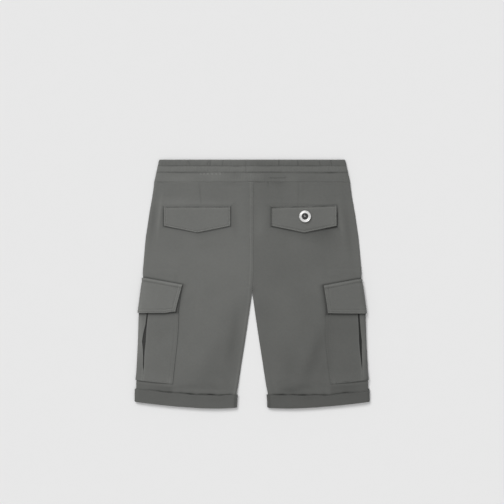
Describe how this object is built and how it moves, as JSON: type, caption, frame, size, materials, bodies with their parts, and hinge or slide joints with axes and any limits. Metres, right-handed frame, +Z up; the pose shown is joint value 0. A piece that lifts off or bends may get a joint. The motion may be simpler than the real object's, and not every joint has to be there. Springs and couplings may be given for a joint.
{
  "type": "cargo shorts",
  "caption": "Child's cargo shorts laid flat with the back up, with a gathered elastic waist, pleated cargo pockets with flaps, back pocket flaps and turned up cuffs.",
  "frame": {"origin": "on the surface that the shorts lie on, under the middle of their length and width", "axes": "+Z up out of the back of the shorts, +Y towards the waist, +X towards the wearer's right"},
  "size_m": [0.3862, 0.4083, 0.012],
  "materials": {
    "cloth": "matt washed cotton twill, grey with a little olive",
    "ring_metal": "satin bright plating",
    "stud_metal": "dark, a little worn"
  },
  "bodies": {
    "root": {"waistband": "cloth", "back_left": "cloth", "back_right": "cloth", "front_left": "cloth", "front_right": "cloth", "cuff_left": "cloth", "cuff_right": "cloth", "cargo_pocket_left": "cloth", "cargo_pocket_right": "cloth", "cargo_flap_left": "cloth", "cargo_flap_right": "cloth", "back_flap_left": "cloth", "back_flap_right": "cloth", "button_ring": "ring_metal", "button_stud": "stud_metal"}
  },
  "joints": []
}
